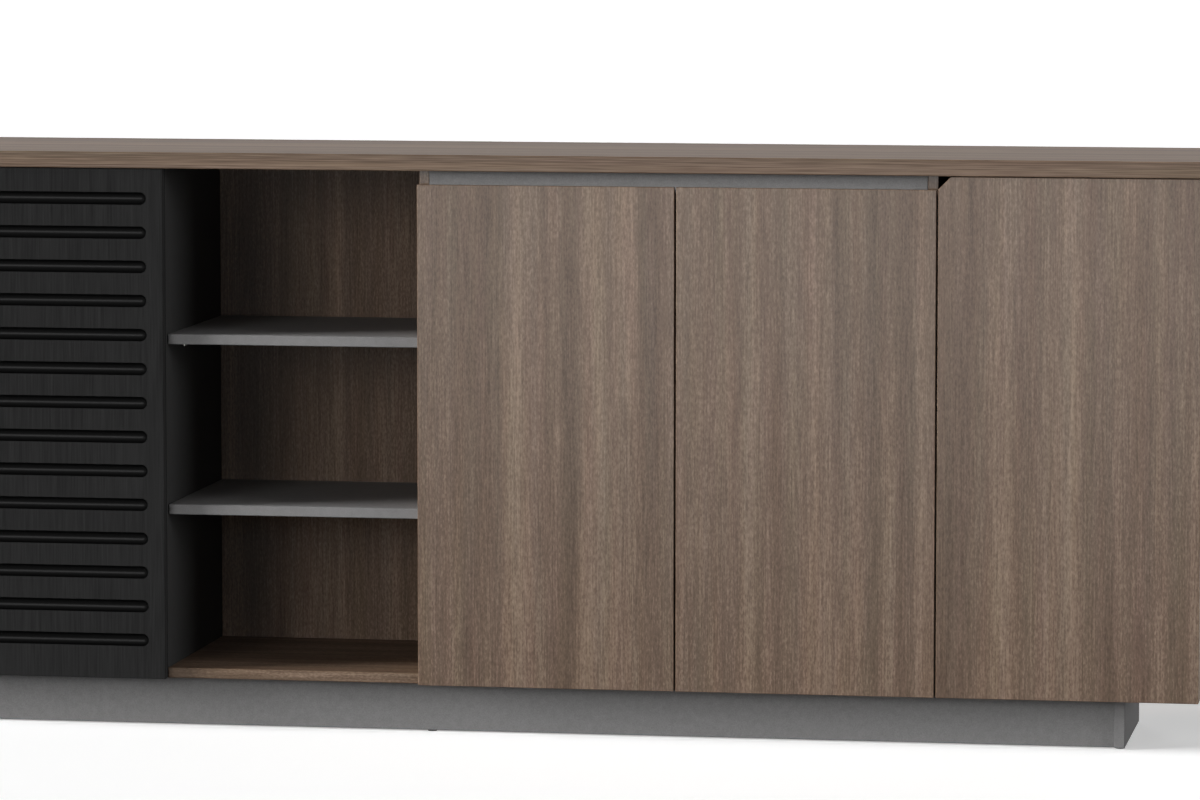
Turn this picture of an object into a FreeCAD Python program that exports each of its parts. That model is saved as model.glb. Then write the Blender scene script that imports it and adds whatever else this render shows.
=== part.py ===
"""Office credenza: four boxes side by side on one recessed plinth, under one top.

From left to right: a cupboard with a coved black door, an open bay with two shelves,
a cupboard with a pair of doors under a grip rail, and an end cupboard whose door has
one corner cut off as a grip.  Millimetres, +Z up, +X to the right as seen from the
front, -Y towards the user.  The origin is on the floor, in the middle of the plan.
"""
import FreeCAD, Part
import Sketcher
import os
import re

from FreeCAD import Vector

os.makedirs("parts", exist_ok=True)
document = FreeCAD.newDocument("credenza")

# ---------------------------------------------------------------- driving dimensions
SIZES = {
    # the whole piece
    "length": 2100, "depth": 400, "height": 900,
    "top_thickness": 25, "board": 16, "back_thickness": 6, "edge_ease": 0.6,
    "top_overhang": 3, "rear_inset": 2,
    # the boxes, left to right; the end cupboard takes what is left of the length
    "louvre_width": 500, "bay_width": 400, "pair_width": 800,
    # doors
    "door_thickness": 16, "door_standoff": 2, "door_gap": 3, "top_clearance": 1,
    "grip_gap": 21, "grip_bevel": 11, "grip_rail_height": 60, "corner_cut": 19,
    # coves routed in the black door
    "cove_radius": 10.5, "cove_depth": 7, "cove_margin": 25, "cove_count": 14,
    "cove_above_bottom": 60.5, "cove_below_top": 46.1,
    # shelves, by the height of their top faces
    "lower_shelf": 352, "upper_shelf": 617, "shelf_setback": 7.5, "shelf_play": 1.2,
    "shelf_rear_gap": 1.5,
    "bracket_leg": 12, "bracket_thickness": 1.5, "bracket_width": 16,
    "bracket_from_front": 120, "bracket_from_back": 40,
    # plinth
    "plinth_height": 81, "plinth_end_inset": 115, "plinth_front_inset": 60,
    "plinth_depth": 285, "plinth_reveal": 8, "glide_radius": 7, "glide_height": 2,
    # concealed hinges
    "hinge_inset": 100, "cup_radius": 17.4, "cup_hole_play": 0.1, "cup_hole_depth": 12,
    "cup_depth": 11.5, "cup_wall": 1, "cup_from_edge": 22.5, "flange_thickness": 1.1,
    "flange_half_length": 30, "flange_half_width": 8,
    "link_block": 7, "link_play": 0.3, "arm_tip": 4, "arm_half_width": 6.5,
    "arm_reach": 6, "arm_nose": 9, "arm_outer_bend": 9, "arm_inner_bend": 10,
    "arm_thickness": 3.5, "arm_length": 62,
    "plate_setback": 22, "plate_length": 34, "plate_half_height": 25,
    "plate_thickness": 2.5, "plate_spine": 6.5,
    # push latch behind the black door
    "latch_height": 484, "latch_length": 58, "latch_thickness": 14, "latch_half_height": 8,
    "latch_setback": 3, "plunger_radius": 4, "plunger_play": 0.1, "plunger_length": 40,
    "strike_radius": 8, "strike_thickness": 1,
    # soft stops on the doors
    "stop_half_side": 4, "stop_play": 0.3, "stop_from_edge": 8, "stop_from_top": 24,
    "stop_spacing": 100,
}

sheet = document.addObject("Spreadsheet::Sheet", "sizes")
for row, (alias, number) in enumerate(SIZES.items(), start=1):
    sheet.set(f"A{row}", alias)
    sheet.set(f"B{row}", str(number))
    sheet.setAlias(f"B{row}", alias)
document.recompute()


def bound(text):
    """The expression with every size's name looked up in the sheet."""
    return re.sub(r"[a-z][a-z_]*", r"sizes.\g<0>", text)


def number(text):
    """The expression's value now, in millimetres."""
    return float(sheet.evalExpression(bound(text)))


# --------------------------------------------------------------------- named planes
LEFT = "(-length / 2)"
RIGHT = "(length / 2)"
LOUVRE_RIGHT = "(-length / 2 + louvre_width)"
PAIR_LEFT = "(-length / 2 + louvre_width + bay_width)"
PAIR_RIGHT = "(-length / 2 + louvre_width + bay_width + pair_width)"
PAIR_MIDDLE = "(-length / 2 + louvre_width + bay_width + pair_width / 2)"

TOP_FRONT = "(-depth / 2)"
TOP_REAR = "(depth / 2)"
DOOR_FRONT = "(-depth / 2 + top_overhang)"
DOOR_REAR = "(-depth / 2 + top_overhang + door_thickness)"
CARCASS_FRONT = "(-depth / 2 + top_overhang + door_thickness + door_standoff)"
CARCASS_REAR = "(depth / 2 - rear_inset)"
BACK_FRONT = "(depth / 2 - rear_inset - back_thickness)"
PLINTH_FRONT = "(-depth / 2 + plinth_front_inset)"
PLINTH_REAR = "(-depth / 2 + plinth_front_inset + plinth_depth)"

FLOOR_OF_BOXES = "plinth_height"
BOTTOM_BOARD_TOP = "(plinth_height + board)"
TOP_UNDERSIDE = "(height - top_thickness)"
FULL_DOOR_TOP = f"({TOP_UNDERSIDE} - top_clearance)"
PAIR_DOOR_TOP = f"({TOP_UNDERSIDE} - grip_gap)"

# the clear width of each box, between the uprights on its two sides
BOXES = {
    "louvre": (f"({LEFT} + board)", f"({LOUVRE_RIGHT} - board)"),
    "bay": (LOUVRE_RIGHT, PAIR_LEFT),
    "pair": (f"({PAIR_LEFT} + board)", f"({PAIR_RIGHT} - board)"),
    "end": (PAIR_RIGHT, f"({RIGHT} - board)"),
}

# each bearer of the plinth stands right under one upright
PLINTH_BEARERS = {
    "plinth_left_bearer": f"({LOUVRE_RIGHT} - board)",
    "plinth_middle_bearer": PAIR_LEFT,
    "plinth_right_bearer": f"({PAIR_RIGHT} - board)",
}

# where the front and rear shelf brackets begin, and the underside of each shelf
BRACKET_ROWS = (f"({CARCASS_FRONT} + bracket_from_front)",
                f"({BACK_FRONT} - bracket_from_back - bracket_width)")
SHELF_UNDERSIDES = ("(lower_shelf - board)", "(upper_shelf - board)")

# the lowest and the highest cove, and the way from one to the next
LOW_COVE = f"({FLOOR_OF_BOXES} + cove_above_bottom)"
HIGH_COVE = f"({FULL_DOOR_TOP} - cove_below_top)"
COVE_PITCH = f"(({HIGH_COVE} - {LOW_COVE}) / (cove_count - 1))"

# the two faces of a hinge arm's tip, inwards from the upright's outer face
ARM_OUTER = "(board + arm_tip)"
ARM_INNER = "(board + arm_tip + arm_nose)"

subparts = []


# -------------------------------------------------------------------------- helpers
def new_body(name):
    body = document.addObject("PartDesign::Body", name)
    body.Label = name
    body.AllowCompound = True
    subparts.append(body)
    return body


def origin_feature(body, role):
    for feature in body.Origin.OriginFeatures:
        if feature.Role == role:
            return feature
    raise ValueError(role)


def new_sketch(body, name, plane, height):
    """A sketch parallel to an origin plane of the body, at a height given as text.

    Height runs along +Z on XY_Plane, +Y on XZ_Plane and +X on YZ_Plane.
    """
    sketch = body.newObject("Sketcher::SketchObject", name)
    sketch.AttachmentSupport = [(origin_feature(body, plane), "")]
    sketch.MapMode = "FlatFace"
    sign = "-1" if plane == "XZ_Plane" else "1"
    sketch.setExpression("AttachmentOffset.Base.z", bound(f"{sign} * ({height})"))
    return sketch


def fix_point(sketch, curve, end, place):
    """Holds one end or centre of a curve at a place written as two expressions."""
    for kind, text in (("DistanceX", place[0]), ("DistanceY", place[1])):
        index = sketch.addConstraint(Sketcher.Constraint(kind, -1, 1, curve, end, number(text)))
        sketch.setExpression(f"Constraints[{index}]", bound(text))


def draw_outline(sketch, corners):
    """A closed outline of straight lines through corners written as expressions."""
    points = [Vector(number(x), number(y), 0) for x, y in corners]
    lines = []
    for start, end in zip(points, points[1:] + points[:1]):
        lines.append(sketch.addGeometry(Part.LineSegment(start, end), False))
    for line, following in zip(lines, lines[1:] + lines[:1]):
        sketch.addConstraint(Sketcher.Constraint("Coincident", line, 2, following, 1))
    for line, corner in zip(lines, corners):
        fix_point(sketch, line, 1, corner)


def draw_rectangle(sketch, low, high):
    draw_outline(sketch, [(low[0], low[1]), (high[0], low[1]),
                          (high[0], high[1]), (low[0], high[1])])


def draw_circle(sketch, centre, radius):
    middle = Vector(number(centre[0]), number(centre[1]), 0)
    circle = sketch.addGeometry(Part.Circle(middle, Vector(0, 0, 1), number(radius)), False)
    fix_point(sketch, circle, 3, centre)
    index = sketch.addConstraint(Sketcher.Constraint("Radius", circle, number(radius)))
    sketch.setExpression(f"Constraints[{index}]", bound(radius))


def add_pad(body, name, sketch, length, reverse=False):
    pad = body.newObject("PartDesign::Pad", name)
    pad.Profile = sketch
    pad.setExpression("Length", bound(length))
    pad.Reversed = reverse
    return pad


def add_pocket(body, name, sketch, length, reverse=False):
    pocket = body.newObject("PartDesign::Pocket", name)
    pocket.Profile = sketch
    pocket.setExpression("Length", bound(length))
    pocket.Reversed = reverse
    return pocket


def add_turning(body, kind, name, sketch):
    """A Revolution or a Groove about the construction line of its own sketch."""
    turning = body.newObject(f"PartDesign::{kind}", name)
    turning.Profile = sketch
    turning.ReferenceAxis = (sketch, ["Axis0"])
    turning.Angle = 360
    return turning


def draw_axis(sketch, start, end):
    """A construction line to turn an outline about; the sketch's first is its Axis0."""
    line = sketch.addGeometry(Part.LineSegment(
        Vector(number(start[0]), number(start[1]), 0),
        Vector(number(end[0]), number(end[1]), 0)), True)
    fix_point(sketch, line, 1, start)
    fix_point(sketch, line, 2, end)


def ease_edges(body, feature):
    """Takes the sharpness off every edge of a board, as its edge banding does."""
    ease = body.newObject("PartDesign::Chamfer", "eased_edges")
    document.recompute()
    ease.Base = (feature, [""])
    ease.UseAllEdges = True
    ease.setExpression("Size", bound("edge_ease"))
    return ease


def repeat(body, name, feature, axis, distance, count):
    """Copies a feature in a row, so that the row is as long as the distance."""
    row = body.newObject("PartDesign::LinearPattern", name)
    row.Originals = [feature]
    row.Direction = (origin_feature(body, axis), [""])
    row.setExpression("Length", bound(distance))
    row.setExpression("Occurrences", bound(count))
    body.Tip = row
    return row


def make_board(name, x_range, y_range, z_range):
    """A flat board between two heights, eased all round."""
    body = new_body(name)
    sketch = new_sketch(body, "plan", "XY_Plane", z_range[0])
    draw_rectangle(sketch, (x_range[0], y_range[0]), (x_range[1], y_range[1]))
    pad = add_pad(body, "thickness", sketch, f"{z_range[1]} - {z_range[0]}")
    ease_edges(body, pad)
    return body


# --------------------------------------------------------------- carcass and plinth
def make_upright(name, left_face):
    make_board(name, (left_face, f"({left_face} + board)"), (CARCASS_FRONT, CARCASS_REAR),
               (FLOOR_OF_BOXES, TOP_UNDERSIDE))


def make_carcass():
    make_board("top_panel", (LEFT, RIGHT), (TOP_FRONT, TOP_REAR), (TOP_UNDERSIDE, "height"))
    make_upright("left_end_panel", LEFT)
    make_upright("louvre_side_panel", f"({LOUVRE_RIGHT} - board)")
    make_upright("pair_left_side_panel", PAIR_LEFT)
    make_upright("pair_right_side_panel", f"({PAIR_RIGHT} - board)")
    make_upright("right_end_panel", f"({RIGHT} - board)")
    for box, (left, right) in BOXES.items():
        make_board(f"{box}_bottom_board", (left, right), (CARCASS_FRONT, BACK_FRONT),
                   (FLOOR_OF_BOXES, BOTTOM_BOARD_TOP))
        make_board(f"{box}_back_panel", (left, right), (BACK_FRONT, CARCASS_REAR),
                   (FLOOR_OF_BOXES, TOP_UNDERSIDE))
    make_board("grip_rail", BOXES["pair"], (CARCASS_FRONT, f"({CARCASS_FRONT} + board)"),
               (f"({TOP_UNDERSIDE} - grip_rail_height)", TOP_UNDERSIDE))


def make_shelves():
    front = f"({CARCASS_FRONT} + shelf_setback)"
    rear = f"({BACK_FRONT} - shelf_rear_gap)"
    for box, (left, right) in BOXES.items():
        for level in ("lower", "upper"):
            make_board(f"{box}_{level}_shelf", (f"({left} + shelf_play)", f"({right} - shelf_play)"),
                       (front, rear), (f"({level}_shelf - board)", f"{level}_shelf"))
        make_shelf_brackets(box, left, right)


def make_shelf_brackets(box, left, right):
    """The eight steel angles under the two shelves of a box.

    One leg lies against the upright and the other under the shelf.  The first angle is
    copied to the rear row, to the upper shelf and, by a mirror in the middle of the box,
    to the other upright.
    """
    body = new_body(f"{box}_shelf_brackets")
    body.setExpression("Placement.Base.x", bound(f"({left} + {right}) / 2"))
    face = f"({left} - {right}) / 2"
    under = SHELF_UNDERSIDES[0]
    sketch = new_sketch(body, "angle_section", "XZ_Plane", BRACKET_ROWS[0])
    draw_outline(sketch, [(face, under), (face, f"{under} - bracket_leg"),
                          (f"{face} + bracket_thickness", f"{under} - bracket_leg"),
                          (f"{face} + bracket_thickness", f"{under} - bracket_thickness"),
                          (f"{face} + bracket_leg", f"{under} - bracket_thickness"),
                          (f"{face} + bracket_leg", under)])
    angle = add_pad(body, "angle", sketch, "bracket_width", reverse=True)
    to_rear = body.newObject("PartDesign::LinearPattern", "rear_row")
    to_rear.Direction = (origin_feature(body, "Y_Axis"), [""])
    to_rear.setExpression("Length", bound(f"{BRACKET_ROWS[1]} - {BRACKET_ROWS[0]}"))
    to_upper = body.newObject("PartDesign::LinearPattern", "upper_level")
    to_upper.Direction = (origin_feature(body, "Z_Axis"), [""])
    to_upper.setExpression("Length", bound(f"{SHELF_UNDERSIDES[1]} - {SHELF_UNDERSIDES[0]}"))
    across = body.newObject("PartDesign::Mirrored", "other_upright")
    across.MirrorPlane = (origin_feature(body, "YZ_Plane"), [""])
    for pattern in (to_rear, to_upper):
        pattern.Occurrences = 2
    all_angles = body.newObject("PartDesign::MultiTransform", "all_angles")
    all_angles.Originals = [angle]
    all_angles.Transformations = [to_rear, to_upper, across]
    body.Tip = all_angles


def make_plinth():
    left, right = f"({LEFT} + plinth_end_inset)", f"({RIGHT} - plinth_end_inset)"
    level = ("glide_height", FLOOR_OF_BOXES)
    inner_left, inner_right = f"({left} + board)", f"({right} - board)"
    front, rear = f"({PLINTH_FRONT} + plinth_reveal)", f"({PLINTH_REAR} - plinth_reveal)"
    make_board("plinth_left_board", (left, inner_left), (PLINTH_FRONT, PLINTH_REAR), level)
    make_board("plinth_right_board", (inner_right, right), (PLINTH_FRONT, PLINTH_REAR), level)
    make_board("plinth_front_board", (inner_left, inner_right), (front, f"({front} + board)"),
               level)
    make_board("plinth_rear_board", (inner_left, inner_right), (f"({rear} - board)", rear),
               level)
    for name, upright in PLINTH_BEARERS.items():
        make_board(name, (upright, f"({upright} + board)"),
                   (f"({front} + board)", f"({rear} - board)"), level)
    make_glides(left, right, front, rear)


def make_glides(left, right, front, rear):
    """Round glides nailed under the plinth's ends and middle, which lift it off the floor."""
    body = new_body("plinth_glides")
    sketch = new_sketch(body, "plan", "XY_Plane", "0")
    middle = PLINTH_BEARERS["plinth_middle_bearer"]
    for x in (f"{left} + board / 2", f"{middle} + board / 2", f"{right} - board / 2"):
        for y in (f"{front} + board / 2", f"{rear} - board / 2"):
            draw_circle(sketch, (x, y), "glide_radius")
    add_pad(body, "thickness", sketch, "glide_height")


# ----------------------------------------------------------------------------- doors
def make_door(name, left, right, top, hinge_edge, inward, heights, corner_cut=None,
              bevelled=False):
    """A door blank with its two hinge bores, drawn from the front.

    The hinge edge is the door's left or right limit, and inward is "1" where the door
    runs to the right of it and "-1" where it runs to the left.
    """
    body = new_body(name)
    bottom = FLOOR_OF_BOXES
    sketch = new_sketch(body, "outline", "XZ_Plane", DOOR_FRONT)
    corners = [(left, bottom), (right, bottom), (right, top), (left, top)]
    if corner_cut:
        corners[3:] = [(f"{left} + {corner_cut}", top), (left, f"{top} - {corner_cut}")]
    draw_outline(sketch, corners)
    pad = add_pad(body, "thickness", sketch, "door_thickness", reverse=True)
    ease_edges(body, pad)
    if bevelled:
        bevel = new_sketch(body, "grip_bevel_section", "YZ_Plane", f"{left} - board")
        draw_outline(bevel, [(f"{DOOR_REAR} - grip_bevel", f"{top} + board"),
                             (f"{DOOR_REAR} - grip_bevel", top),
                             (DOOR_REAR, f"{top} - grip_bevel"),
                             (f"{DOOR_REAR} + board", f"{top} - grip_bevel"),
                             (f"{DOOR_REAR} + board", f"{top} + board")])
        add_pocket(body, "grip_bevel_cut", bevel, f"{right} - {left} + 2 * board", reverse=True)
    bores = new_sketch(body, "hinge_bore_centres", "XZ_Plane", DOOR_REAR)
    for z in heights:
        draw_circle(bores, (f"{hinge_edge} + {inward} * cup_from_edge", z),
                    "cup_radius + cup_hole_play")
    add_pocket(body, "hinge_bores", bores, "cup_hole_depth", reverse=True)
    return body


def hinge_heights(top):
    return (f"({FLOOR_OF_BOXES} + hinge_inset)", f"({top} - hinge_inset)")


def cut_coves(body, left, right):
    """Coves with round ends, as a round-nosed cutter leaves them, one above the other.

    Half of the cutter's path is drawn on a level plane and turned about its own axis,
    which runs just in front of the door's face.
    """
    axis_y = f"{DOOR_FRONT} - cove_radius + cove_depth"
    rim_y = f"{axis_y} + cove_radius"
    low_x, high_x = f"{left} + cove_margin", f"{right} - cove_margin"
    first_x, last_x = f"{low_x} + cove_radius", f"{high_x} - cove_radius"
    sketch = new_sketch(body, "cutter_half_section", "XY_Plane", LOW_COVE)

    def point(x, y):
        return Vector(number(x), number(y), 0)

    def quarter(start, end, centre_x, outward):
        reach = number("cove_radius") / 2 ** 0.5
        middle = point(centre_x, axis_y) + Vector(outward * reach, reach, 0)
        arc = sketch.addGeometry(Part.Arc(start, middle, end), False)
        index = sketch.addConstraint(Sketcher.Constraint("Radius", arc, number("cove_radius")))
        sketch.setExpression(f"Constraints[{index}]", bound("cove_radius"))
        return arc

    rim = sketch.addGeometry(Part.LineSegment(point(first_x, rim_y), point(last_x, rim_y)), False)
    core = sketch.addGeometry(Part.LineSegment(point(low_x, axis_y), point(high_x, axis_y)), False)
    left_end = quarter(point(first_x, rim_y), point(low_x, axis_y), first_x, -1)
    right_end = quarter(point(high_x, axis_y), point(last_x, rim_y), last_x, 1)
    fix_point(sketch, rim, 1, (first_x, rim_y))
    fix_point(sketch, rim, 2, (last_x, rim_y))
    fix_point(sketch, core, 1, (low_x, axis_y))
    fix_point(sketch, core, 2, (high_x, axis_y))
    # three-point arcs run anticlockwise, so each one's start and end are read off here
    for arc, rim_end, core_end, arc_on_rim in ((left_end, 1, 1, 1), (right_end, 2, 2, 2)):
        sketch.addConstraint(Sketcher.Constraint("Coincident", arc, arc_on_rim, rim, rim_end))
        sketch.addConstraint(Sketcher.Constraint("Coincident", arc, 3 - arc_on_rim, core, core_end))
    draw_axis(sketch, (low_x, axis_y), (high_x, axis_y))
    cove = add_turning(body, "Groove", "cove", sketch)
    repeat(body, "coves", cove, "Z_Axis", f"{HIGH_COVE} - {LOW_COVE}", "cove_count")


# ---------------------------------------------------------------------------- hinges
def make_hinges(door, upright_face, inward, heights):
    """Two concealed hinges: cups in the door, arms and mounting plates on the upright.

    The upright's outer face is the datum.  Distances from it run inwards, distances
    behind the carcass front run backwards.
    """
    low, high = heights
    spacing = f"{high} - {low}"

    def place(from_face, behind_front):
        return (f"{upright_face} + {inward} * ({from_face})", f"{CARCASS_FRONT} + {behind_front}")

    make_hinge_cups(door, upright_face, inward, low, spacing, place)
    make_hinge_arms(door, low, spacing, place)
    make_hinge_plates(door, low, spacing, place)


def make_hinge_cups(door, upright_face, inward, low, spacing, place):
    """A pressed cup with its two lugs, and the folded links inside it."""
    body = new_body(f"{door}_hinge_cups")
    mouth = "(-door_standoff)"
    bottom = f"({mouth} - cup_depth)"
    sketch = new_sketch(body, "cup_half_section", "XY_Plane", low)
    draw_outline(sketch, [
        place("cup_from_edge", bottom),
        place("cup_from_edge + cup_radius", bottom),
        place("cup_from_edge + cup_radius", f"{mouth} + flange_thickness"),
        place("cup_from_edge + cup_radius - cup_wall", f"{mouth} + flange_thickness"),
        place("cup_from_edge + cup_radius - cup_wall", f"{bottom} + cup_wall"),
        place("cup_from_edge", f"{bottom} + cup_wall")])
    draw_axis(sketch, place("cup_from_edge", bottom), place("cup_from_edge", "cup_depth"))
    cup = add_turning(body, "Revolution", "cup", sketch)
    lug_sketch = new_sketch(body, "lug_outlines", "XZ_Plane", DOOR_REAR)
    centre_x = f"{upright_face} + {inward} * cup_from_edge"
    start = "(cup_radius - cup_wall / 2)"
    for sign in ("-", "+"):
        draw_rectangle(lug_sketch,
                       (f"{centre_x} - flange_half_width", f"{low} {sign} {start}"),
                       (f"{centre_x} + flange_half_width", f"{low} {sign} flange_half_length"))
    lugs = add_pad(body, "lugs", lug_sketch, "flange_thickness", reverse=True)
    link_sketch = new_sketch(body, "links_plan", "XY_Plane", f"{low} - arm_half_width")
    draw_rectangle(link_sketch,
                   place(f"{ARM_INNER} + link_play", f"{bottom} + cup_wall / 2"),
                   place(f"{ARM_INNER} + link_play + link_block", f"{mouth} - cup_wall"))
    links = add_pad(body, "links", link_sketch, "2 * arm_half_width")
    pattern = repeat(body, "both_hinges", cup, "Z_Axis", spacing, "2")
    pattern.Originals = [cup, lugs, links]


def make_hinge_arms(door, low, spacing, place):
    """A cranked arm, from its seat on the mounting plate forward into the cup."""
    body = new_body(f"{door}_hinge_arms")
    seat = "(board + plate_thickness + plate_spine)"
    back = f"({seat} + arm_thickness)"
    sketch = new_sketch(body, "cranked_section", "XY_Plane", f"{low} - arm_half_width")
    draw_outline(sketch, [
        place(seat, "arm_length"), place(back, "arm_length"), place(back, "arm_outer_bend"),
        place(ARM_INNER, "flange_thickness"), place(ARM_INNER, "(-arm_reach)"),
        place(ARM_OUTER, "(-arm_reach)"), place(ARM_OUTER, "arm_inner_bend"),
        place(seat, "arm_inner_bend + plate_spine")])
    arm = add_pad(body, "arm", sketch, "2 * arm_half_width")
    repeat(body, "both_hinges", arm, "Z_Axis", spacing, "2")


def make_hinge_plates(door, low, spacing, place):
    """A winged plate screwed to the upright, with a spine that the arm clips on."""
    body = new_body(f"{door}_hinge_plates")
    rear = "plate_setback + plate_length"
    wing_sketch = new_sketch(body, "wing_plan", "XY_Plane", f"{low} - plate_half_height")
    draw_rectangle(wing_sketch, place("board", "plate_setback"),
                   place("board + plate_thickness", rear))
    wings = add_pad(body, "wings", wing_sketch, "2 * plate_half_height")
    spine_sketch = new_sketch(body, "spine_plan", "XY_Plane", f"{low} - arm_half_width")
    draw_rectangle(spine_sketch, place("board + plate_thickness / 2", "plate_setback"),
                   place("board + plate_thickness + plate_spine", rear))
    spine = add_pad(body, "spine", spine_sketch, "2 * arm_half_width")
    pattern = repeat(body, "both_hinges", wings, "Z_Axis", spacing, "2")
    pattern.Originals = [wings, spine]


# -------------------------------------------------------------- latch and soft stops
def make_push_latch():
    """A push latch beside the black door's free edge: housing, plunger and strike."""
    face, height = f"({LOUVRE_RIGHT} - board)", "latch_height"
    centre = f"({face} - latch_thickness / 2)"
    nose = f"({DOOR_REAR} + strike_thickness + stop_play)"

    housing = new_body("latch_housing")
    plan = new_sketch(housing, "plan", "XY_Plane", f"{height} - latch_half_height")
    draw_rectangle(plan, (f"{face} - latch_thickness", f"{CARCASS_FRONT} + latch_setback"),
                   (face, f"{CARCASS_FRONT} + latch_setback + latch_length"))
    add_pad(housing, "block", plan, "2 * latch_half_height")
    mouth = new_sketch(housing, "bore_centre", "XZ_Plane", f"{CARCASS_FRONT} + latch_setback")
    draw_circle(mouth, (centre, height), "plunger_radius + plunger_play")
    add_pocket(housing, "bore", mouth, "plunger_length", reverse=False)

    plunger = new_body("latch_plunger")
    end = new_sketch(plunger, "end", "XZ_Plane", nose)
    draw_circle(end, (centre, height), "plunger_radius")
    add_pad(plunger, "rod", end, "plunger_length", reverse=True)

    strike = new_body("latch_strike")
    disc = new_sketch(strike, "outline", "XZ_Plane", DOOR_REAR)
    draw_circle(disc, (centre, height), "strike_radius")
    add_pad(strike, "disc", disc, "strike_thickness", reverse=True)


def make_stops(door, places):
    """Soft square pads on a door's back, just clear of the carcass when it is shut."""
    body = new_body(f"{door}_stops")
    sketch = new_sketch(body, "centres", "XZ_Plane", DOOR_REAR)
    for x, z in places:
        draw_rectangle(sketch, (f"{x} - stop_half_side", f"{z} - stop_half_side"),
                       (f"{x} + stop_half_side", f"{z} + stop_half_side"))
    add_pad(body, "pads", sketch, "door_standoff - stop_play", reverse=True)


# ------------------------------------------------------------------------- the doors
def make_doors():
    low_stop = f"{FLOOR_OF_BOXES} + stop_from_edge"
    half_gap = "door_gap / 2"

    # the black door's bores lie between two coves, where the door keeps its thickness
    between_coves = (f"({LOW_COVE} + {COVE_PITCH} / 2)", f"({HIGH_COVE} - {COVE_PITCH} / 2)")
    louvre = make_door("louvre_door", LEFT, LOUVRE_RIGHT, FULL_DOOR_TOP, LEFT, "1",
                       between_coves)
    cut_coves(louvre, LEFT, LOUVRE_RIGHT)
    make_hinges("louvre_door", LEFT, "1", between_coves)
    stop_x = f"{LOUVRE_RIGHT} - stop_from_edge"
    make_stops("louvre_door", [(stop_x, low_stop), (stop_x, f"{FULL_DOOR_TOP} - stop_from_top")])

    heights = hinge_heights(PAIR_DOOR_TOP)
    for name, left, right, upright, inward, stop_x in (
            ("left_door", PAIR_LEFT, f"({PAIR_MIDDLE} - {half_gap})", PAIR_LEFT, "1",
             f"{PAIR_MIDDLE} - {half_gap} - stop_from_edge"),
            ("right_door", f"({PAIR_MIDDLE} + {half_gap})", f"({PAIR_RIGHT} - {half_gap})",
             PAIR_RIGHT, "-1", f"{PAIR_MIDDLE} + {half_gap} + stop_from_edge")):
        make_door(name, left, right, PAIR_DOOR_TOP, upright, inward, heights, bevelled=True)
        make_hinges(name, upright, inward, heights)
        make_stops(name, [(stop_x, low_stop), (stop_x, f"{PAIR_DOOR_TOP} - stop_from_top")])

    heights = hinge_heights(FULL_DOOR_TOP)
    end_left = f"({PAIR_RIGHT} + {half_gap})"
    make_door("end_door", end_left, RIGHT, FULL_DOOR_TOP, RIGHT, "-1", heights,
              corner_cut="corner_cut")
    make_hinges("end_door", RIGHT, "-1", heights)
    stop_x = f"{end_left} + stop_from_edge"
    make_stops("end_door", [(stop_x, low_stop), (f"{stop_x} + stop_spacing", low_stop)])


# ---------------------------------------------------------------------- build, check
make_carcass()
make_shelves()
make_plinth()
make_doors()
make_push_latch()
document.recompute()

for item in document.Objects:
    if {"Invalid", "Error"} & set(item.State):
        raise RuntimeError(f"{item.Label} in {item.FullName} failed: {item.State}")
for body in subparts:
    if body.Shape.isNull() or not body.Shape.isValid() or not body.Shape.Solids:
        raise RuntimeError(f"{body.Label} has no valid solid")

for body in subparts:
    body.Shape.exportStep(f"parts/{body.Label}.step")
print(f"{len(subparts)} sub-parts, {sum(len(body.Shape.Solids) for body in subparts)} solids")
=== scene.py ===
# %% [markdown]
# # An office credenza in printed board
#
# The cabinet is made of melamine board: particle board with a printed paper pressed on
# it. The pieces already have their real size and place, so this file gives them their
# finishes, adds the small fastenings, and sets up a plain studio around them.

# %% Load the cabinet
import bpy
import math
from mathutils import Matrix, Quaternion, Vector


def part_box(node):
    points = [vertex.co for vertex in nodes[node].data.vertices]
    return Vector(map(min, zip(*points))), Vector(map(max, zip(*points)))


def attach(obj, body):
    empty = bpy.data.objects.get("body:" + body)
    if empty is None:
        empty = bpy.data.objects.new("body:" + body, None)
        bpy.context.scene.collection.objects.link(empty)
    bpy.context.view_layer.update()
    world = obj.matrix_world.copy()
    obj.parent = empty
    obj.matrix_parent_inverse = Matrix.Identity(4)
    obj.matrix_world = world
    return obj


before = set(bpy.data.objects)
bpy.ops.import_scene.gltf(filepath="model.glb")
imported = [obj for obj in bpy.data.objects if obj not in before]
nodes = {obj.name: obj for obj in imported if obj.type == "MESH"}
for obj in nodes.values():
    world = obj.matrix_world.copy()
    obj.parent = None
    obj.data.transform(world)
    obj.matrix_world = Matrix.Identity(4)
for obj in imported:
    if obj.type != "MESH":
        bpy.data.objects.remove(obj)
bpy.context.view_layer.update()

# %% [markdown]
# ## The camera
#
# A long lens far away keeps the doors nearly square to each other, as a catalogue
# picture does. It stands to the right of the middle, a little above the top.

# %% Place the camera
CAMERA_PLACE = (1.6407, -9.1655, 1.4020)
CAMERA_TILT = math.radians(90 - 5.4915)
CAMERA_ROLL = math.radians(-0.0152)
CAMERA_TURN = math.radians(9.5358)
CAMERA_LENS = 179.498

camera = bpy.data.objects.new("camera", bpy.data.cameras.new("camera"))
camera.data.lens = CAMERA_LENS
camera.location = CAMERA_PLACE
camera.rotation_euler = (CAMERA_TILT, CAMERA_ROLL, CAMERA_TURN)
bpy.context.scene.collection.objects.link(camera)
bpy.context.scene.camera = camera
print("camera at", CAMERA_PLACE)

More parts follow.
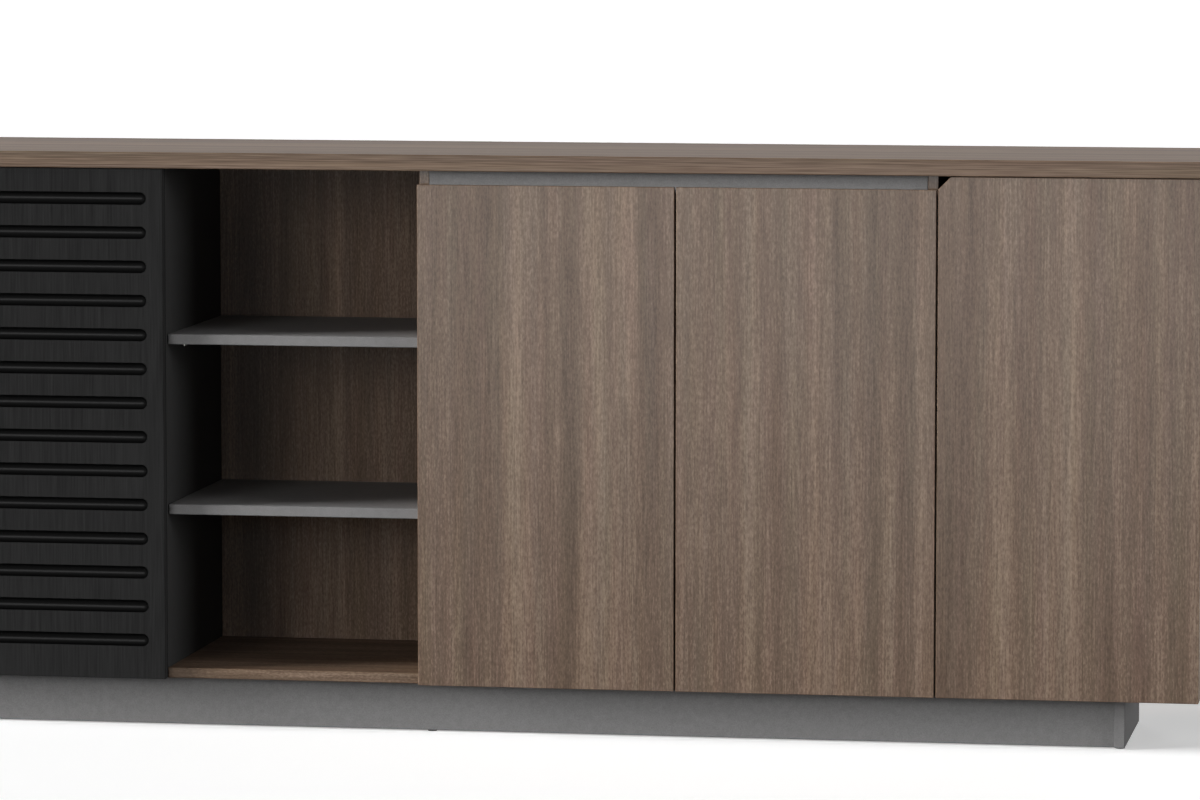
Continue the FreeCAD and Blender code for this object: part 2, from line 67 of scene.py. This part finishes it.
# %% [markdown]
# ## Colours and noise
#
# A printed wood has no depth: it is a tone that changes slowly across the board, with
# fibres drawn out along the grain. All of it can be made from one kind of noise,
# stretched more or less along the grain and added up. A finish is a tree of nodes, and
# these few functions make the nodes that every finish needs.

# %% Colours and new materials


def linear(channel):
    """One 0 to 255 screen value as the light that a shader counts in."""
    share = channel / 255
    return share / 12.92 if share <= 0.04045 else ((share + 0.055) / 1.055) ** 2.4


def colour(red, green, blue, share=1.0):
    """A screen colour with its light scaled by a share."""
    return (share * linear(red), share * linear(green), share * linear(blue), 1)


def new_material(name):
    material = bpy.data.materials.new(name)
    material.use_nodes = True
    return material, material.node_tree, material.node_tree.nodes["Principled BSDF"]


print("a middle grey of 118 is", round(linear(118), 3), "in light")

# %% Make single nodes
# A mix node numbers its sockets by kind: the first value, the second, and the result
MIX_SOCKETS = {"FLOAT": (2, 3, 0), "VECTOR": (4, 5, 1), "RGBA": (6, 7, 2)}


def feed(tree, value, socket):
    """Gives a socket a fixed value, or links it to the output of another node."""
    if isinstance(value, bpy.types.NodeSocket):
        tree.links.new(value, socket)
    else:
        socket.default_value = value


def maths(tree, operation, *values):
    node = tree.nodes.new("ShaderNodeMath")
    node.operation = operation
    for value, socket in zip(values, node.inputs):
        feed(tree, value, socket)
    return node.outputs[0]


def vector_maths(tree, operation, *values):
    node = tree.nodes.new("ShaderNodeVectorMath")
    node.operation = operation
    for value, socket in zip(values, node.inputs):
        feed(tree, value, socket)
    return node.outputs[0]


def mixed(tree, kind, factor, first, second, blend="MIX"):
    """The first value where the factor is 0, and the second blended in where it is 1."""
    node = tree.nodes.new("ShaderNodeMix")
    node.data_type = kind
    node.blend_type = blend
    first_socket, second_socket, result = MIX_SOCKETS[kind]
    feed(tree, factor, node.inputs["Factor"])
    feed(tree, first, node.inputs[first_socket])
    feed(tree, second, node.inputs[second_socket])
    return node.outputs[result]


def own_place(tree):
    """Where a point lies in metres, measured from its object's origin."""
    return tree.nodes.new("ShaderNodeTexCoord").outputs["Object"]


def parts_of(tree, vector):
    """The X, Y and Z of a vector, each an output."""
    node = tree.nodes.new("ShaderNodeSeparateXYZ")
    feed(tree, vector, node.inputs[0])
    return node.outputs


print("a mix can be of", ", ".join(MIX_SOCKETS))

# %% Make noise, ramps and bumps


def stretched_noise(tree, place, across, along, detail=2.0, wander=0.0, output="Fac"):
    """Noise with so many spots to the metre across the grain and along it."""
    mapping = tree.nodes.new("ShaderNodeMapping")
    mapping.inputs["Scale"].default_value = (across, across, along)
    feed(tree, place, mapping.inputs["Vector"])
    noise = tree.nodes.new("ShaderNodeTexNoise")
    noise.inputs["Scale"].default_value = 1
    noise.inputs["Detail"].default_value = detail
    noise.inputs["Distortion"].default_value = wander
    feed(tree, mapping.outputs["Vector"], noise.inputs["Vector"])
    return noise.outputs[output]


def add_up(tree, layers, level=0.5):
    """The level, plus each noise's distance from its own middle times its weight."""
    total = level - 0.5 * sum(weight for noise, weight in layers)
    for noise, weight in layers:
        total = maths(tree, "MULTIPLY_ADD", noise, weight, total)
    return total


def ramp(tree, tone, stops):
    """Colours laid out along a tone from 0 to 1."""
    node = tree.nodes.new("ShaderNodeValToRGB")
    elements = node.color_ramp.elements
    while len(elements) < len(stops):
        elements.new(0.5)
    for element, (position, shade) in zip(elements, stops):
        element.position = position
        element.color = shade
    feed(tree, tone, node.inputs["Fac"])
    return node.outputs["Color"]


def bump(tree, shader, height, strength, distance):
    node = tree.nodes.new("ShaderNodeBump")
    node.inputs["Strength"].default_value = strength
    node.inputs["Distance"].default_value = distance
    feed(tree, height, node.inputs["Height"])
    feed(tree, node.outputs["Normal"], shader.inputs["Normal"])


print("noise, ramps and bumps are ready")

# %% [markdown]
# ## Which way the grain runs
#
# The print runs up the doors and the sides, and along the top and the shelves. Edge
# banding is a strip cut from a roll, so at the ends of a board the grain turns and
# follows the edge. The texture is turned by the face's own direction to do the same.

# %% Turn the pattern to the board
TURN_TO_UPRIGHT = {"X": (0, -math.pi / 2, 0), "Y": (math.pi / 2, 0, 0), "Z": (0, 0, 0)}
# A face points along an axis when this much of its direction does
ALIGNED = 0.7


def turned(tree, place, axis, shift):
    """A place shifted by so many metres and turned so that an axis comes to lie along Z."""
    mapping = tree.nodes.new("ShaderNodeMapping")
    mapping.inputs["Location"].default_value = shift
    mapping.inputs["Rotation"].default_value = TURN_TO_UPRIGHT[axis]
    feed(tree, place, mapping.inputs["Vector"])
    return mapping.outputs["Vector"]


def aimed(tree, axis):
    """How far a face's own direction points along an axis, from -1 to 1."""
    return parts_of(tree, tree.nodes.new("ShaderNodeNewGeometry").outputs["Normal"])[axis]


def grain_place(tree, grain, ends, shift):
    """A place whose Z runs along the grain, and along the ends' own axis on end faces."""
    place = own_place(tree)
    is_end = maths(tree, "GREATER_THAN", maths(tree, "ABSOLUTE", aimed(tree, grain)), ALIGNED)
    return mixed(tree, "VECTOR", is_end, turned(tree, place, grain, shift),
                 turned(tree, place, ends, shift))


print("grain can run along", ", ".join(TURN_TO_UPRIGHT))

# %% [markdown]
# ## Greyed walnut
#
# The print is a grey-brown walnut: soft light and dark bands a few centimetres wide
# that wander a little, finer fibres over them, and short pale flecks like lime left in
# the pores. The dark and the pale tone differ in lightness and hardly in hue.

# %% Make the walnut finish
WALNUT_DARK = (72, 54, 40)
WALNUT_MIDDLE = (102, 83, 68)
WALNUT_PALE = (140, 119, 101)
TINT = 0.2
BAND_WEIGHT = 0.95
WAVE_WEIGHT = 0.5
FIBRE_WEIGHT = 0.75
FLECK_WEIGHT = 0.88
FIBRE_RELIEF = 0.7
FLECK_RELIEF = 0.8


def tinted(tree, shade, place):
    """Shifts the hue a little from band to band, the three channels each on their own."""
    noise = stretched_noise(tree, place, across=55, along=2.2, output="Color")
    lowest = (1 - TINT / 2, 1, 1 - TINT / 2)
    shares = vector_maths(tree, "MULTIPLY_ADD", noise, (TINT, 0, TINT), lowest)
    return vector_maths(tree, "MULTIPLY", shade, shares)


def walnut(name, grain, ends, shift, roughness=0.6, gloss=0.1, stretch=1.0, share=1.0):
    """The print, with its short marks stretched along the grain and its colour scaled by the share;
    below 1 it is a painted shade and above 1 painted light.
    """
    material, tree, shader = new_material(name)
    place = grain_place(tree, grain, ends, shift)
    bands = stretched_noise(tree, place, across=27, along=0.45, detail=1, wander=0.2)
    waves = stretched_noise(tree, place, across=62, along=2.2 / stretch, wander=0.2)
    fibres = stretched_noise(tree, place, across=400, along=12 / stretch, detail=1)
    flecks = stretched_noise(tree, place, across=470, along=170 / stretch, detail=1)
    tone = add_up(tree, [(bands, BAND_WEIGHT), (waves, WAVE_WEIGHT),
                         (fibres, FIBRE_WEIGHT), (flecks, FLECK_WEIGHT)])
    shade = ramp(tree, tone, [(0, colour(*WALNUT_DARK, share)), (0.5, colour(*WALNUT_MIDDLE, share)),
                              (1, colour(*WALNUT_PALE, share))])
    feed(tree, tinted(tree, shade, place), shader.inputs["Base Color"])
    shader.inputs["Roughness"].default_value = roughness
    shader.inputs["Specular IOR Level"].default_value = gloss
    pores = add_up(tree, [(fibres, FIBRE_RELIEF), (flecks, FLECK_RELIEF)])
    bump(tree, shader, pores, strength=0.25, distance=0.0004)
    return material


print("the walnut runs from", WALNUT_DARK, "to", WALNUT_PALE)

# %% Put walnut on the boards
# Each door is cut from its own part of the print
DOOR_SHIFTS = {"left_door": (0.31, 0.2, 0.4), "right_door": (1.17, 0.5, 1.9),
               "end_door": (2.43, 0.9, 3.1)}
dressed = set()


def dress(material, *names):
    """Gives CAD pieces their finish."""
    dressed.update(names)
    for name in names:
        nodes[name].data.materials.clear()
        nodes[name].data.materials.append(material)


# The top's colour is scaled darker: a painted shade
dress(walnut("walnut_top_painted_shade", "X", "Y", (0, 0, 0), roughness=0.45, gloss=0.055, stretch=14, share=0.88),
      "top_panel")
for door, shift in DOOR_SHIFTS.items():
    dress(walnut(f"walnut_{door}", "Z", "X", shift, roughness=0.45, gloss=0.135), door)
# The uprights' colour is scaled a little darker: a painted shade
dress(walnut("walnut_uprights_painted_shade", "Z", "Y", (0.7, 1.3, 5.2), roughness=0.45, gloss=0.135, share=0.92),
      "pair_left_side_panel", "pair_right_side_panel", "right_end_panel")
dress(walnut("walnut_backs", "Z", "X", (3.3, 2.1, 7.7), gloss=0.05),
      "bay_back_panel", "pair_back_panel", "end_back_panel")
# The level boards' colour is scaled lighter: painted light
dress(walnut("walnut_level_boards_painted_light", "X", "Y", (4.1, 3.3, 0.6), share=1.2),
      "bay_bottom_board", "pair_bottom_board", "end_bottom_board",
      "pair_lower_shelf", "pair_upper_shelf", "end_lower_shelf", "end_upper_shelf")
print("walnut is on", len(dressed), "pieces")

# %% [markdown]
# ## Black and grey board
#
# The coved door has a matt black film with a fine upright grain. The coves are routed
# through it. Their colour is much blacker, a painted shade for the shade inside them,
# and their gloss is satin. One material does both: how far a point lies behind the
# door's front tells whether it is in a cove.

# %% Make the black door's finish
BLACK = colour(30, 30, 30)
BLACK_PALE = colour(46, 46, 46)
# The coves' colour, far darker than the film: a painted shade
COVE_PAINTED_SHADE_BLACK = colour(3, 3, 3)
FILM_ROUGHNESS = 0.9
COVE_ROUGHNESS = 0.38
FILM_GLOSS = 0.048
BLACK_FIBRE_WEIGHT = 1.4
BLACK_STREAK_WEIGHT = 0.8
COVE_EDGE = 0.0004
COVE_FLOOR = 0.0075
COVE_MARGIN = 0.02


def between(tree, value, low, high):
    """1 where the value lies between low and high, and 0 elsewhere."""
    return maths(tree, "MULTIPLY", maths(tree, "GREATER_THAN", value, low),
                 maths(tree, "LESS_THAN", value, high))


def in_a_cove(tree, place, node):
    """1 behind the door's front, except at its edges and its rear."""
    low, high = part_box(node)
    parts = parts_of(tree, place)
    across = between(tree, parts["X"], low.x + COVE_MARGIN, high.x - COVE_MARGIN)
    behind = between(tree, parts["Y"], low.y + COVE_EDGE, low.y + COVE_FLOOR)
    return maths(tree, "MULTIPLY", across, behind)


def black_grained(node):
    material, tree, shader = new_material("black_grained")
    place = grain_place(tree, "Z", "X", (0.2, 0.1, 0.3))
    fibres = stretched_noise(tree, place, across=380, along=12)
    streaks = stretched_noise(tree, place, across=130, along=7)
    tone = add_up(tree, [(fibres, BLACK_FIBRE_WEIGHT), (streaks, BLACK_STREAK_WEIGHT)])
    cove = in_a_cove(tree, own_place(tree), node)
    film = ramp(tree, tone, [(0, BLACK), (1, BLACK_PALE)])
    # Inside the coves the colour turns almost black: a painted shade
    feed(tree, mixed(tree, "RGBA", cove, film, COVE_PAINTED_SHADE_BLACK), shader.inputs["Base Color"])
    feed(tree, mixed(tree, "FLOAT", cove, FILM_ROUGHNESS, COVE_ROUGHNESS),
         shader.inputs["Roughness"])
    shader.inputs["Specular IOR Level"].default_value = FILM_GLOSS
    bump(tree, shader, tone, strength=0.35, distance=0.0004)
    return material


dress(black_grained("louvre_door"), "louvre_door")
black_door_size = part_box("louvre_door")[1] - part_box("louvre_door")[0]
print("the black door is", tuple(round(side, 3) for side in black_door_size))

# %% [markdown]
# ## Sanded board
#
# The inside of the black box, the plinth, the bay's shelves and the grip rail have a
# plain film with a very fine sand texture. Three boards have one side painted darker, a
# painted shade that deepens the shade there: the outer ends of the plinth and the front
# edge of the black wall.

# %% Make the plain black and the grey finish
GREY = colour(111, 110, 110)
GREY_PALE = colour(143, 142, 142)
BOARD_BLACK = colour(47, 47, 47)
BOARD_BLACK_PALE = colour(57, 57, 57)
BOARD_ROUGHNESS = 0.6
BLACK_GLOSS = 0.025
GREY_GLOSS = 0.08
SAND_WEIGHT = 1.0
CLOUD_WEIGHT = 0.5
# The share of light that the darker sides keep, a painted shade
GREY_SIDE_PAINTED_SHADE = 0.45
BLACK_EDGE_PAINTED_SHADE = 0.06


def facing(tree, axis, sign):
    """1 on the faces that point one way along an axis, and 0 elsewhere."""
    return maths(tree, "GREATER_THAN", maths(tree, "MULTIPLY", aimed(tree, axis), sign), ALIGNED)


def sanded(name, dark, pale, gloss, painted_shade_side=None):
    """Plain board with a fine even texture; the last argument, an axis, a sign and a share, darkens one
    side as a painted shade.
    """
    material, tree, shader = new_material(name)
    place = own_place(tree)
    sand = stretched_noise(tree, place, across=700, along=700)
    cloud = stretched_noise(tree, place, across=90, along=90, detail=3)
    tone = add_up(tree, [(sand, SAND_WEIGHT), (cloud, CLOUD_WEIGHT)])
    shade = ramp(tree, tone, [(0, dark), (1, pale)])
    # A darker side is a painted shade: the colour is multiplied down where the face points one way
    if painted_shade_side:
        axis, sign, share = painted_shade_side
        side = facing(tree, axis, sign)
        shade = mixed(tree, "RGBA", side, shade, (share, share, share, 1), blend="MULTIPLY")
    feed(tree, shade, shader.inputs["Base Color"])
    shader.inputs["Roughness"].default_value = BOARD_ROUGHNESS
    shader.inputs["Specular IOR Level"].default_value = gloss
    bump(tree, shader, sand, strength=0.2, distance=0.0003)
    return material


dress(sanded("black_board", BOARD_BLACK, BOARD_BLACK_PALE, BLACK_GLOSS),
      "louvre_bottom_board", "louvre_back_panel", "louvre_lower_shelf", "louvre_upper_shelf")
dress(sanded("black_end", BLACK, BLACK_PALE, BLACK_GLOSS), "left_end_panel")
# The black wall's front edge gets a painted shade, the dark line beside the black door
dress(sanded("black_side_painted_shade", BOARD_BLACK, BOARD_BLACK_PALE, BLACK_GLOSS, ("Y", -1, BLACK_EDGE_PAINTED_SHADE)),
      "louvre_side_panel")
dress(sanded("grey_board", GREY, GREY_PALE, GREY_GLOSS),
      "bay_lower_shelf", "bay_upper_shelf", "grip_rail",
      *(name for name in nodes if name.startswith("plinth") and name != "plinth_glides"))
# The plinth's outer end faces get a painted shade, the shade under the boxes' overhang
dress(sanded("grey_right_end_painted_shade", GREY, GREY_PALE, GREY_GLOSS, ("X", 1, GREY_SIDE_PAINTED_SHADE)), "plinth_right_board")
dress(sanded("grey_left_end_painted_shade", GREY, GREY_PALE, GREY_GLOSS, ("X", -1, GREY_SIDE_PAINTED_SHADE)), "plinth_left_board")
print("boards dressed so far:", len(dressed))

# %% [markdown]
# ## Metal and plastic
#
# The hinges are pressed steel with a nickel plating: a soft mirror, a little uneven.
# The glides and the latch are black moulded plastic, and the stops are soft and milky.

# %% Make the fittings' finishes
# Most of a noise lies between these two
NOISE_LOW = 0.3
NOISE_HIGH = 0.7
NICKEL_DARK = colour(176, 175, 171)
NICKEL_PALE = colour(206, 205, 201)
SMUDGE_WEIGHT = 0.35
NICKEL_ROUGHNESS = 0.3
PLASTIC_DARK = colour(22, 22, 22)
PLASTIC_PALE = colour(30, 30, 30)
STOP_DARK = colour(196, 196, 192)
STOP_PALE = colour(210, 210, 206)


def nickel():
    """Plated steel, with smudges that change its colour and its gloss together."""
    material, tree, shader = new_material("nickel_plate")
    smudges = stretched_noise(tree, own_place(tree), across=160, along=160, detail=3)
    shade = ramp(tree, smudges, [(NOISE_LOW, NICKEL_DARK), (NOISE_HIGH, NICKEL_PALE)])
    feed(tree, shade, shader.inputs["Base Color"])
    shader.inputs["Metallic"].default_value = 1
    rough = add_up(tree, [(smudges, SMUDGE_WEIGHT)], level=NICKEL_ROUGHNESS)
    feed(tree, rough, shader.inputs["Roughness"])
    return material


def moulded(name, dark, pale, roughness):
    material, tree, shader = new_material(name)
    texture = stretched_noise(tree, own_place(tree), across=900, along=900)
    shade = ramp(tree, texture, [(NOISE_LOW, dark), (NOISE_HIGH, pale)])
    feed(tree, shade, shader.inputs["Base Color"])
    shader.inputs["Roughness"].default_value = roughness
    bump(tree, shader, texture, strength=0.15, distance=0.0002)
    return material


nickel_plate = nickel()
dress(nickel_plate, *(name for name in nodes if "hinge" in name or "bracket" in name),
      "latch_strike")
dress(moulded("black_plastic", PLASTIC_DARK, PLASTIC_PALE, roughness=0.45),
      "plinth_glides", "latch_housing", "latch_plunger")
dress(moulded("soft_stop", STOP_DARK, STOP_PALE, roughness=0.4),
      *(name for name in nodes if name.endswith("_stops")))
print("pieces without a finish:", sorted(set(nodes) - dressed))

# %% [markdown]
# ## Rounded edges
#
# No board has a knife edge. Its banding is scraped to a small round, which catches the
# light as a thin bright line. The boards come as loose triangles, so they are welded
# first, and then every sharp edge is rounded by a modifier that leaves the board alone.

# %% Round the edges of the boards
EDGE_ROUND = 0.0007
ROUND_STEPS = 2
WELD_REACH = 0.00001
# The rims of the coves turn by 70 degrees and stay crisp: the black door uses the second
SHARP = math.radians(40)
SQUARE = math.radians(80)


def round_edges(name, least_turn):
    """Rounds the edges at which a board turns by more than an angle."""
    weld = nodes[name].modifiers.new("weld", "WELD")
    weld.merge_threshold = WELD_REACH
    rounding = nodes[name].modifiers.new("edge_round", "BEVEL")
    rounding.width = EDGE_ROUND
    rounding.segments = ROUND_STEPS
    rounding.limit_method = "ANGLE"
    rounding.angle_limit = least_turn


boards = [name for name in nodes if name.endswith(("_door", "_panel", "_board", "_shelf"))]
for name in boards + ["grip_rail"]:
    round_edges(name, SQUARE if name == "louvre_door" else SHARP)
print(len(boards), "boards have rounded edges")

# %% [markdown]
# ## Screws
#
# Two screws hold each hinge cup to its door and two its plate to the side panel, and two
# more set the arm. Each shelf bracket has one. All are alike, so one is modelled: a flat
# head with a bevelled rim and a cross cut into it. Copies go to every place.

# %% Model one screw
SCREW_RADIUS = 0.0032
SCREW_HEIGHT = 0.0009
SCREW_SIDES = 16
RIM_BEVEL = 0.00036
SLOT_LENGTH = 0.0040
SLOT_WIDTH = 0.0011
SLOT_DEPTH = 0.00054
# How far the cutting bar stands out over the head
BAR_SPARE = 0.00006
# A face is the head's top when it points up by at least this much
UPWARD = 0.9


def pick_only(*pieces):
    bpy.ops.object.select_all(action="DESELECT")
    for piece in pieces:
        piece.select_set(True)
    bpy.context.view_layer.objects.active = pieces[0]


def add_bar(length, width, height, middle):
    """A block to cut a slot with, and the height of its middle."""
    bpy.ops.object.select_all(action="DESELECT")
    bpy.ops.mesh.primitive_cube_add(size=1, location=(0, 0, middle), scale=(length, width, height))
    bpy.ops.object.transform_apply(location=True, rotation=True, scale=True)
    return bpy.context.object


def model_screw():
    """A screw head that stands on z = 0 with its axis upright."""
    bpy.ops.object.select_all(action="DESELECT")
    bpy.ops.mesh.primitive_cylinder_add(vertices=SCREW_SIDES, radius=SCREW_RADIUS, depth=SCREW_HEIGHT,
                                        location=(0, 0, SCREW_HEIGHT / 2))
    head = bpy.context.object
    bpy.ops.object.transform_apply(location=True, rotation=True, scale=True)
    for face in head.data.polygons:
        face.select = face.normal.z > UPWARD
    bpy.context.tool_settings.mesh_select_mode = (False, False, True)
    bpy.ops.object.mode_set(mode="EDIT")
    bpy.ops.mesh.bevel(offset=RIM_BEVEL, segments=1, affect="EDGES")
    bpy.ops.object.mode_set(mode="OBJECT")
    for length, width in ((SLOT_LENGTH, SLOT_WIDTH), (SLOT_WIDTH, SLOT_LENGTH)):
        bar = add_bar(length, width, SLOT_DEPTH + BAR_SPARE,
                      SCREW_HEIGHT + (BAR_SPARE - SLOT_DEPTH) / 2)
        pick_only(head)
        cut = head.modifiers.new("slot", "BOOLEAN")
        cut.operation = "DIFFERENCE"
        cut.object = bar
        bpy.ops.object.modifier_apply(modifier="slot")
        bpy.data.objects.remove(bar)
    head.data.materials.append(nickel_plate)
    return head


screw = model_screw()
print("one screw has", len(screw.data.polygons), "faces")

# %% Put screws on the hinges
# Each screw stops at its own angle, this many radians on from the one before
TWIST = 0.7


def drive_screws(name, body, places):
    """Copies the screw to each place and outward direction, and joins the copies."""
    copies = []
    for number, (place, outward) in enumerate(places):
        copy = screw.copy()
        copy.data = screw.data.copy()
        copy.location = place
        spun = Quaternion((0, 0, 1), TWIST * number)
        copy.rotation_mode = "QUATERNION"
        copy.rotation_quaternion = Vector(outward).to_track_quat("Z", "Y") @ spun
        bpy.context.scene.collection.objects.link(copy)
        copies.append(copy)
    pick_only(*copies)
    bpy.ops.object.transform_apply(location=True, rotation=True, scale=True)
    bpy.ops.object.join()
    piece = bpy.context.object
    piece.name = name
    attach(piece, body)


# In from the outer face of the door's side panel
CUP_INSET = 0.0225
PLATE_FACE = 0.0185
ARM_FACE = 0.029
# From front to rear
LUG_BACK = -0.1799
PLATE_MIDDLE = -0.140
ARM_SCREWS = (-0.124, -0.146)
# Up and down from the hinge's middle
LUG_SCREWS = 0.024
PLATE_SCREWS = 0.016
# Each door's side panel face, the way inward from it, and the heights of its hinges
HUNG_DOORS = {
    "louvre_door": (-1.050, 1, (0.1679, 0.8015)),
    "left_door": (-0.150, 1, (0.181, 0.754)),
    "right_door": (0.650, -1, (0.181, 0.754)),
    "end_door": (1.050, -1, (0.181, 0.774)),
}

for door, (face, inward, heights) in HUNG_DOORS.items():
    cup = face + inward * CUP_INSET
    plate = face + inward * PLATE_FACE
    arm = face + inward * ARM_FACE
    on_door = []
    on_plates = []
    for height in heights:
        for side in (-1, 1):
            on_door.append(((cup, LUG_BACK, height + side * LUG_SCREWS), (0, 1, 0)))
            on_plates.append(((plate, PLATE_MIDDLE, height + side * PLATE_SCREWS), (inward, 0, 0)))
        for depth in ARM_SCREWS:
            on_plates.append(((arm, depth, height), (inward, 0, 0)))
    drive_screws(f"{door}_cup_screws", f"{door}_leaf", on_door)
    drive_screws(f"{door}_plate_screws", "carcass", on_plates)
print("screws on", len(HUNG_DOORS), "doors")

# %% Put screws in the shelf brackets
BRACKET_PLATE = 0.0015
BRACKET_ROWS = (-0.051, 0.144)
BRACKET_HEIGHTS = (0.3292, 0.5942)
BOX_SIDES = {"louvre": (-1.034, -0.566), "bay": (-0.550, -0.150),
             "pair": (-0.134, 0.634), "end": (0.650, 1.034)}

for box, (left, right) in BOX_SIDES.items():
    places = []
    for height in BRACKET_HEIGHTS:
        for depth in BRACKET_ROWS:
            places.append(((left + BRACKET_PLATE, depth, height), (1, 0, 0)))
            places.append(((right - BRACKET_PLATE, depth, height), (-1, 0, 0)))
    drive_screws(f"{box}_bracket_screws", "carcass", places)
bpy.data.objects.remove(screw)
print("screws in the brackets of", len(BOX_SIDES), "boxes")

# %% [markdown]
# ## The studio
#
# Two far soft lamps light the doors from the sides, low down. Light that grazes the
# front hardly gets into the open bay, so the doors are bright and the bay stays deep. A
# weak lamp in front fills them, and two behind keep the back from going black. Their
# round glare is switched off. The last lamp, a long strip below the level of the top,
# shows only as a gloss: along the coves, and on the doors, stronger towards their tops.

# %% Light the cabinet
AMBIENT = 0.01
# A lamp of this strength that shines straight at a white face shows it as white
SUN_FOR_WHITE = math.pi
STRIP_WATTS = 200
STRIP_LENGTH = 5.0
STRIP_HEIGHT = 0.36
STRIP_PLACE = (0.3, -2.6, 0.72)


def far_lamp(name, azimuth, elevation, spread, level):
    """A lamp so far away that it lights everything alike: a level of 1 shows white as white."""
    lamp = bpy.data.lights.new(name, "SUN")
    lamp.angle = math.radians(spread)
    lamp.energy = SUN_FOR_WHITE * level
    turn = math.radians(azimuth)
    rise = math.radians(elevation)
    towards = Vector((math.sin(turn) * math.cos(rise), -math.cos(turn) * math.cos(rise), math.sin(rise)))
    holder = bpy.data.objects.new(name, lamp)
    holder.rotation_euler = towards.to_track_quat("Z", "Y").to_euler()
    holder.visible_glossy = False
    bpy.context.scene.collection.objects.link(holder)


far_lamp("left_lamp", azimuth=-76, elevation=13, spread=26, level=2.16)
far_lamp("right_lamp", azimuth=72.5, elevation=8, spread=24, level=0.44)
far_lamp("front_lamp", azimuth=-20, elevation=8, spread=24, level=0.25)
far_lamp("rear_left_lamp", azimuth=-160, elevation=6, spread=20, level=0.36)
far_lamp("rear_right_lamp", azimuth=160, elevation=6, spread=20, level=0.36)

strip = bpy.data.lights.new("gloss_strip", "AREA")
strip.shape = "RECTANGLE"
strip.size = STRIP_LENGTH
strip.size_y = STRIP_HEIGHT
strip.energy = STRIP_WATTS
strip_holder = bpy.data.objects.new("gloss_strip", strip)
strip_holder.location = STRIP_PLACE
strip_holder.rotation_euler = Vector((0, -1, 0)).to_track_quat("Z", "Y").to_euler()
strip_holder.visible_camera = False
strip_holder.visible_diffuse = False
bpy.context.scene.collection.objects.link(strip_holder)

# %% [markdown]
# ## White all round
#
# The camera sees white behind the cabinet, also in a reflection, but a white room would
# light up the open bay. So the white is only for what is seen directly, and light that
# has bounced finds hardly any.

# %% Light the room


def seen_directly(tree):
    """1 for what the camera sees, also in a gloss or through glass, and 0 for bounced light."""
    ray = tree.nodes.new("ShaderNodeLightPath").outputs
    seen = maths(tree, "MAXIMUM", ray["Is Camera Ray"], ray["Is Glossy Ray"])
    return maths(tree, "MAXIMUM", seen, ray["Is Transmission Ray"])


def by_ray(tree, bounced, seen):
    """One shader for the light that bounces, and another for what is seen."""
    mix = tree.nodes.new("ShaderNodeMixShader")
    feed(tree, seen_directly(tree), mix.inputs["Fac"])
    feed(tree, bounced.outputs[0], mix.inputs[1])
    feed(tree, seen.outputs[0], mix.inputs[2])
    return mix.outputs[0]


def background(tree, strength):
    shader = tree.nodes.new("ShaderNodeBackground")
    shader.inputs["Color"].default_value = (1, 1, 1, 1)
    shader.inputs["Strength"].default_value = strength
    return shader


world = bpy.data.worlds.new("studio")
world.use_nodes = True
bpy.context.scene.world = world
tree = world.node_tree
tree.nodes.clear()
output = tree.nodes.new("ShaderNodeOutputWorld")
feed(tree, by_ray(tree, background(tree, AMBIENT), background(tree, 1)), output.inputs["Surface"])
bpy.context.scene.view_settings.view_transform = "Standard"
print("ambient light", AMBIENT)

# %% [markdown]
# ## The floor
#
# The floor is white paper. It shows the cabinet's soft shadow, so it has to stay a real
# surface; a little light of its own, that only the camera and reflections see, lifts it
# to white. To the light that bounces it is dark, so that it doesn't light up the bay.

# %% Lay the floor
FLOOR_SIZE = 400
FLOOR_LIFT = 0.385
PAPER_SEEN = 0.98
PAPER_BOUNCED = 0.1


def matt(tree, shade):
    shader = tree.nodes.new("ShaderNodeBsdfDiffuse")
    shader.inputs["Color"].default_value = (shade, shade, shade, 1)
    return shader


bpy.ops.object.select_all(action="DESELECT")
bpy.ops.mesh.primitive_plane_add(size=FLOOR_SIZE, location=(0, 0, 0))
floor = bpy.context.object
floor.name = "floor"
paper, tree, plain_shader = new_material("floor_paper")
tree.nodes.remove(plain_shader)
glow = tree.nodes.new("ShaderNodeEmission")
glow.inputs["Strength"].default_value = FLOOR_LIFT
lifted = tree.nodes.new("ShaderNodeAddShader")
feed(tree, matt(tree, PAPER_SEEN).outputs[0], lifted.inputs[0])
feed(tree, glow.outputs[0], lifted.inputs[1])
surface = tree.nodes["Material Output"].inputs["Surface"]
feed(tree, by_ray(tree, matt(tree, PAPER_BOUNCED), lifted), surface)
floor.data.materials.append(paper)
print("floor", FLOOR_SIZE, "m square")
